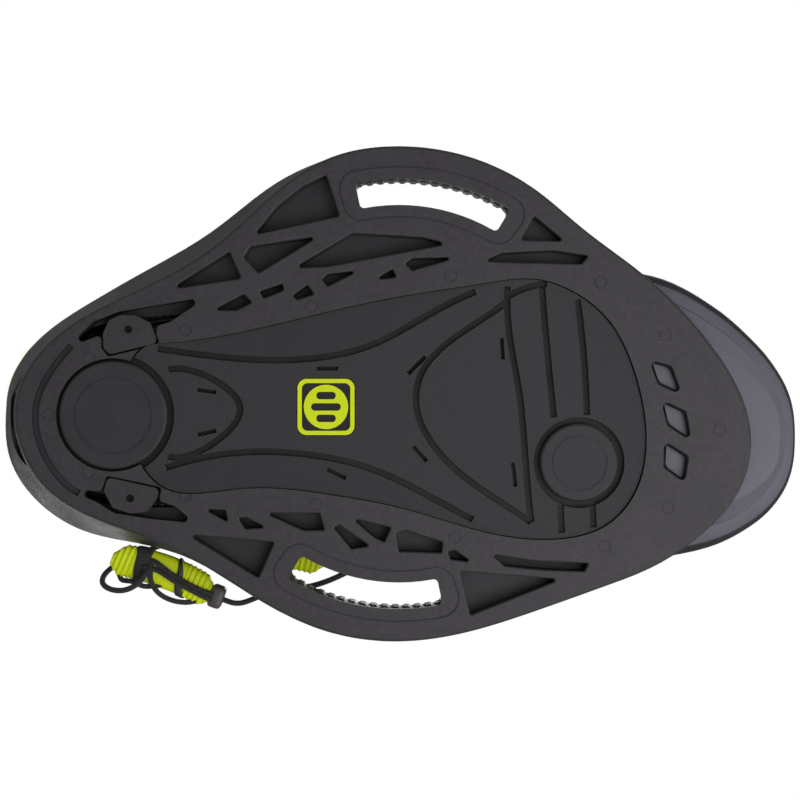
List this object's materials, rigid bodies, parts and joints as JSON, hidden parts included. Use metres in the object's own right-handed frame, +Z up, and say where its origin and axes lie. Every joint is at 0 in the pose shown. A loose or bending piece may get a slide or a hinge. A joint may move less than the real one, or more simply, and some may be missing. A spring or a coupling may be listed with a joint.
{
  "type": "wakeboard binding",
  "caption": "Laced wakeboard boot on a moulded chassis with two curved toothed slots that bolt to a board; foam sole, rubber toe, pull-handle laces.",
  "frame": {"origin": "centre of the mounting slots' pitch circle, on the plane of the face that meets the board", "axes": "+X to the toe, +Y to the medial side of this right foot, +Z up from the board"},
  "size_m": [0.3083, 0.1871, 0.257],
  "materials": {
    "frame_nylon": "black glass-filled nylon, lightly grained, slight scuffing",
    "sole_foam": "black moulded EVA foam, finely textured",
    "lime_plastic": "lime green moulded plastic, satin",
    "dark_steel": "black-finished steel",
    "board_fibre": "pressed fibre board",
    "footbed_foam": "foam with a cloth face",
    "liner_cloth": "black knitted cloth over foam",
    "collar_cloth": "black brushed knit over foam",
    "toe_rubber": "dark grey moulded rubber",
    "rand_rubber": "black rubber band",
    "upper_synthetic": "black coated synthetic, fine grain",
    "gloss_shell": "black glossy moulded shell with a lime piping",
    "tongue_synthetic": "black coated synthetic over foam",
    "webbing": "black woven webbing",
    "eyestay_tpu": "black moulded overlay",
    "guide_nylon": "black moulded nylon",
    "lace_cord": "black braided cord"
  },
  "bodies": {
    "boot": {"chassis_frame": "frame_nylon", "sole_pad": "sole_foam", "heel_pad_disc": "sole_foam", "ball_pad_disc": "sole_foam", "sole_badge": "lime_plastic", "heel_lugs": "frame_nylon", "heel_lug_screws": "dark_steel", "lasting_board": "board_fibre", "footbed": "footbed_foam", "liner": "liner_cloth", "collar_pad": "collar_cloth", "toe_cap": "toe_rubber", "toe_rand": "rand_rubber", "vamp": "upper_synthetic", "quarter_lateral": "upper_synthetic", "quarter_medial": "upper_synthetic", "heel_counter": "gloss_shell", "cuff": "upper_synthetic", "heel_pull_loop": "webbing", "eyestay_lateral": "eyestay_tpu", "eyestay_medial": "eyestay_tpu", "lace_guides": "guide_nylon", "lower_lace": "lace_cord", "upper_lace": "lace_cord", "lace_locks": "guide_nylon", "rear_lace_handle": "lime_plastic", "front_lace_handle": "lime_plastic", "upper_pull_cord": "lace_cord", "slack_cord": "lace_cord", "lower_pull_cord": "lace_cord"},
    "tongue": {"tongue": "tongue_synthetic", "tongue_pull_loop": "webbing"},
    "lower_button": {"lower_lock_button": "lime_plastic"},
    "upper_button": {"upper_lock_button": "lime_plastic"}
  },
  "joints": [
    {"name": "tongue_tilt", "type": "hinge", "parent": "boot", "child": "tongue", "pos_m": [0.052, 0.005, 0.092], "axis": [0, 1, 0], "range_deg": [0, 14], "deforming": ["lower_lace", "upper_lace"]},
    {"name": "lower_button_press", "type": "slide", "parent": "boot", "child": "lower_button", "axis": [0, -1, 0], "range_m": [0, 0.0025], "stiffness_N_per_m": 600},
    {"name": "upper_button_press", "type": "slide", "parent": "boot", "child": "upper_button", "axis": [0, -1, 0], "range_m": [0, 0.0025], "stiffness_N_per_m": 600}
  ]
}
